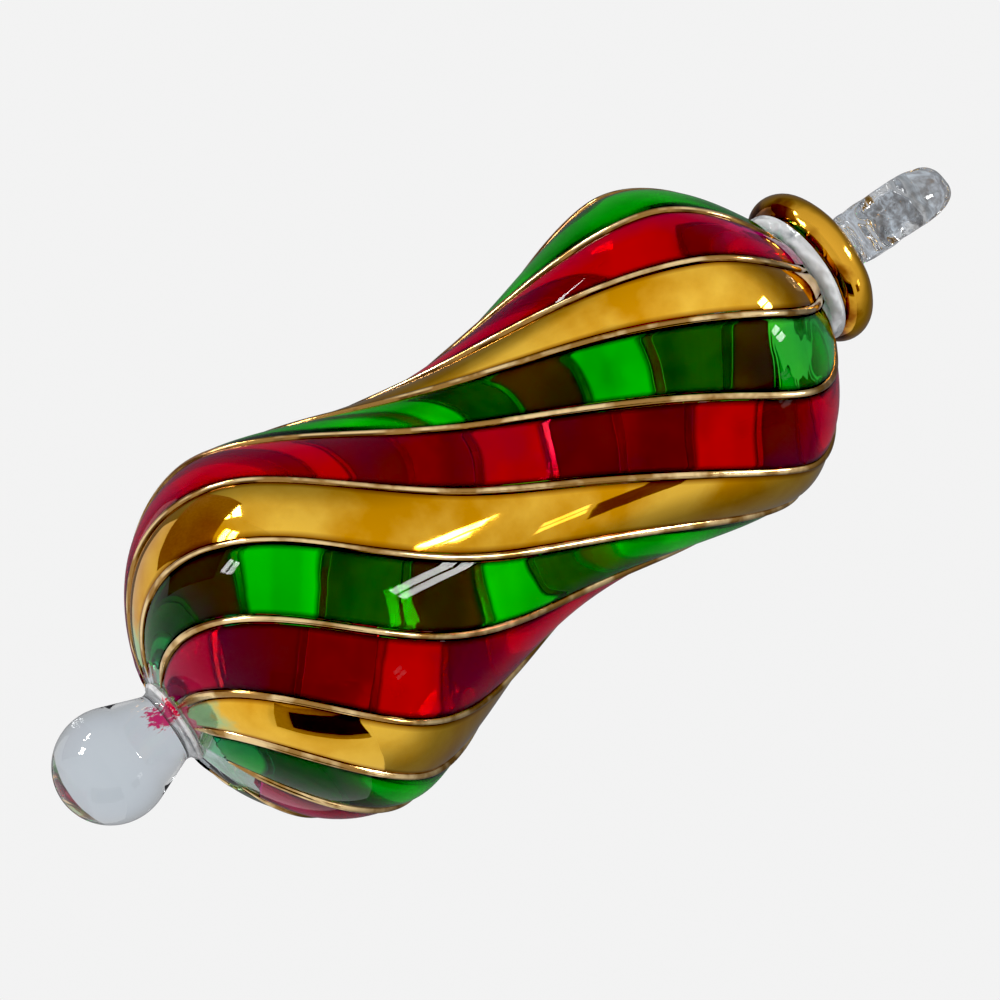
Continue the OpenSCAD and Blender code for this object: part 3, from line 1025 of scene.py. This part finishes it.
def work_loop(mesh, foot, top):
    """Makes the loop uneven, rough in its hole and thinner at its tip, and leans it over."""
    normals = [vertex.normal.copy() for vertex in mesh.vertices]
    for vertex, normal in zip(mesh.vertices, normals):
        spot = vertex.co / MM
        off_foot = ramp_up(spot.z - foot, LOOP_CALM_H)
        in_hole = ramp_up(HOLE_R + HOLE_WAVE_W - math.hypot(spot.y, spot.z), HOLE_WAVE_FADE)
        broad = LOOP_WAVE * off_foot * noise.noise(spot / LOOP_WAVE_LENGTH)
        fine = HOLE_WAVE * in_hole * noise.noise(spot / HOLE_WAVE_LENGTH)
        vertex.co += normal * (broad + fine) * MM
        vertex.co.x *= 1 - TIP_TAPER * ramp_up(spot.z, top)
        vertex.co.x += LOOP_LEAN * MM * max(0, (spot.z - foot) / (top - foot)) ** LEAN_BEND


def make_loop():
    """Eye and flared stem, melted into one lump of glass."""
    top = box_mm("hanging_loop")[1].z
    foot = box_mm("neck_bead")[1].z + SKIN_GAP
    points, faces = eye_rod()
    flare_at = (LOOP_STEM_R + LOOP_FLARE_R, foot + LOOP_FLARE_R)
    flare = arc(flare_at, LOOP_FLARE_R, LOOP_FLARE_START, 180, FLARE_STEPS)
    stem_top = -HOLE_R - STEM_OVERLAP
    outline = [(0, foot), (LOOP_STEM_R + LOOP_FOOT_W, foot), *flare]
    outline += [(LOOP_STEM_R, stem_top), (0, stem_top)]
    stem_points, stem_faces = lathe_rings(outline, STEM_TURNS)
    shift = len(points)
    faces += [tuple(shift + v for v in f) for f in stem_faces]
    mesh = melt("loop_eye", points + stem_points, faces)
    work_loop(mesh, foot, top)
    return dress(add_object("loop_eye", mesh), (LOOP_GLASS,), "clear_glass", "hanging_loop")


for stripe_index in range(STRIPES):
    make_stripe(stripe_index)
    make_line(stripe_index)
make_body()
make_ball()
make_neck()
make_ring()
make_loop()

# Camera: the photograph's view, rolled so that the ornament lies across the frame
CAMERA_AT = Vector((1.138, -326.2, -172.1)) * MM
CAMERA_TILT = 18
CAMERA_LENS = 100.8
SENSOR_W = 36
CAMERA_NEAR = 10
# Where the ornament's axis points in the picture
AXIS_RIGHT = 0.81352
AXIS_UP = 0.58154
tilt = math.radians(CAMERA_TILT)
view_dir = Vector((0, math.cos(tilt), math.sin(tilt)))
axis_dir = Vector((0, -math.sin(tilt), math.cos(tilt)))
side_dir = Vector((1, 0, 0))
cam_right = AXIS_RIGHT * axis_dir + AXIS_UP * side_dir
cam_up = AXIS_UP * axis_dir - AXIS_RIGHT * side_dir


def make_camera():
    """Camera where the photograph was taken from."""
    data = bpy.data.cameras.new("camera")
    data.sensor_width = SENSOR_W
    data.lens = CAMERA_LENS
    data.clip_start = CAMERA_NEAR * MM
    camera = add_object("camera", data)
    turn = Matrix((cam_right, cam_up, -view_dir)).transposed()
    camera.matrix_world = Matrix.Translation(CAMERA_AT) @ turn.to_4x4()
    bpy.context.scene.camera = camera


def from_camera(right, up, back):
    """Direction given along the camera's right, up and backwards."""
    return (right * cam_right + up * cam_up - back * view_dir).normalized()


MIDDLE = Vector((0, 0, (FOOT_Z + MOUTH_Z) / 2))

# Brightness of the surroundings as glass lets it through, from behind the camera round to behind the
# ornament
ROOM_LIGHT = [
    (0, grey(0.72)),
    (0.2, grey(0.62)),
    (0.41, grey(0.55)),
    (0.6, (0.46, 0.47, 0.48)),
    (0.75, (0.46, 0.48, 0.5)),
    (0.88, (0.52, 0.55, 0.59)),
    (1, (0.55, 0.59, 0.63)),
]
# The same as surfaces mirror it: close behind the ornament lies its own shadow
MIRRORED_LIGHT = [
    (0, grey(0.88)),
    (0.2, grey(0.78)),
    (0.41, grey(0.68)),
    (0.56, (0.38, 0.38, 0.39)),
    (0.72, (0.2, 0.2, 0.21)),
    (1, (0.14, 0.14, 0.15)),
]
BACKDROP = grey(0.896)
WINDOW_DISTANCE = 900
# Share of a window's width that the bar between its panes takes
BAR_SHARE = 0.14
# Power that gives a square metre of window a radiance of one
WINDOW_POWER = 4
# Brightness of a card's darkest weave, as a share of its colour
WEAVE_SHADE = 0.7
FLOOR_W = 8000
FLOOR_Z = -1100
# Brightness that the photograph shows as black
BLACK_LEVEL = grey(0.014)


def make_pane(name, middle, turn, width, height, radiance):
    """Rectangular soft light."""
    data = bpy.data.lights.new(name, "AREA")
    data.shape = "RECTANGLE"
    data.size = width * MM
    data.size_y = height * MM
    data.energy = WINDOW_POWER * width * height * MM * MM * radiance
    light = add_object(name, data)
    light.location = middle * MM
    light.rotation_mode = "QUATERNION"
    light.rotation_quaternion = turn
    light.visible_camera = False


def make_window(name, direction, width, height, radiance, spin=0):
    """Window of two panes that faces the ornament's middle, turned about its own middle by spin."""
    turn = direction.to_track_quat("Z", "Y") @ Quaternion((0, 0, 1), math.radians(spin))
    pane_w = width * (1 - BAR_SHARE) / 2
    for side in (-1, 1):
        aside = turn @ Vector((side * (width - pane_w) / 2, 0, 0))
        middle = MIDDLE + direction * WINDOW_DISTANCE + aside
        make_pane(f"{name}_{side}", middle, turn, pane_w, height, radiance)


def add_towards(nodes, links, direction):
    """How nearly a ray of the world goes in a direction, from -1 to 1."""
    place = nodes.new("ShaderNodeTexCoord")
    facing = nodes.new("ShaderNodeVectorMath")
    facing.operation = "DOT_PRODUCT"
    facing.inputs[1].default_value = direction
    links.new(place.outputs["Generated"], facing.inputs[0])
    return facing.outputs["Value"]


def make_world():
    """Pale surroundings. The camera and matt surfaces see only a plain backdrop."""
    world = bpy.data.worlds.new("studio")
    world.use_nodes = True
    nodes = world.node_tree.nodes
    links = world.node_tree.links
    path = nodes.new("ShaderNodeLightPath")
    behind = add_range(nodes, links, add_towards(nodes, links, view_dir), 0, 1, -1, 1)
    room = add_ramp(nodes, links, behind, ROOM_LIGHT)
    mirrored = new_blend(nodes, links, path.outputs["Is Reflection Ray"], room)
    links.new(add_ramp(nodes, links, behind, MIRRORED_LIGHT), mirrored.inputs[BLEND_TO])
    shown = mirrored.outputs[BLEND_RESULT]
    for ray in ("Is Diffuse Ray", "Is Camera Ray"):
        shown = blend_to(nodes, links, path.outputs[ray], shown, BACKDROP)
    links.new(shown, nodes["Background"].inputs["Color"])
    bpy.context.scene.world = world


def add_card(name, middle, turn, width, height):
    """Flat rectangle about its middle."""
    signs = [(-1, -1), (1, -1), (1, 1), (-1, 1)]
    corners = [middle + turn @ Vector((x * width / 2, y * height / 2, 0)) for x, y in signs]
    return add_mesh(name, corners, [(0, 1, 2, 3)])


def make_flag(name, direction, distance, width, height, colour):
    """Dark matt card beside the ornament, out of the picture, for the gold to mirror."""
    turn = direction.to_track_quat("Z", "Y").to_matrix()
    flag = add_card(name, MIDDLE + direction * distance, turn, width, height)
    material, nodes, links, shader = new_material(name)
    dull = [WEAVE_SHADE * c for c in colour]
    weave = add_ramp(nodes, links, add_noise(nodes, links, CARD_WEAVE), [(0.3, dull), (0.7, colour)])
    links.new(weave, shader.inputs["Base Color"])
    shader.inputs["Roughness"].default_value = 1
    shader.inputs["Specular IOR Level"].default_value = 0
    flag.data.materials.append(material)
    flag.visible_camera = False
    flag.visible_transmission = False


def make_floor():
    """Plain pale floor below the hanging ornament."""
    floor = add_card("floor", Vector((0, 0, FLOOR_Z)), Matrix.Identity(3), FLOOR_W, FLOOR_W)
    material, nodes, links, shader = new_material("floor_paper")
    stops = [(0.3, grey(0.84)), (0.7, grey(0.87))]
    grain = add_ramp(nodes, links, add_noise(nodes, links, PAPER_GRAIN), stops)
    links.new(grain, shader.inputs["Base Color"])
    shader.inputs["Roughness"].default_value = 0.7
    floor.data.materials.append(material)
    floor.visible_transmission = False


make_camera()
make_world()
make_floor()
make_window("window_high", from_camera(-0.66, 0.73, 0.18), 200, 260, 30, 45)
make_window("window_left", from_camera(-0.775, 0.4, 0.485), 130, 180, 30)
make_window("window_right", from_camera(0.87, 0.37, 0.32), 160, 260, 26)
make_window("window_low", from_camera(0.857, -0.28, 0.432), 120, 180, 1.4)
make_flag("flag_low", from_camera(0, -0.81, 0.585), 800, 300, 600, (0.02, 0.012, 0.006))
make_flag("flag_low_soft", from_camera(-0.08, -0.81, 0.57), 850, 480, 800, (0.32, 0.25, 0.18))
make_flag("flag_left", from_camera(-0.86, 0.5, -0.04), 800, 600, 700, (0.26, 0.17, 0.19))
make_flag("flag_right", from_camera(0.726, -0.51, 0.46), 800, 200, 200, (0.16, 0.08, 0.02))

scene = bpy.context.scene
scene.view_settings.view_transform = "Standard"
scene.view_settings.use_curve_mapping = True
scene.view_settings.curve_mapping.black_level = BLACK_LEVEL
scene.cycles.max_bounces = 32
scene.cycles.transmission_bounces = 28
scene.cycles.glossy_bounces = 12
scene.cycles.transparent_max_bounces = 16
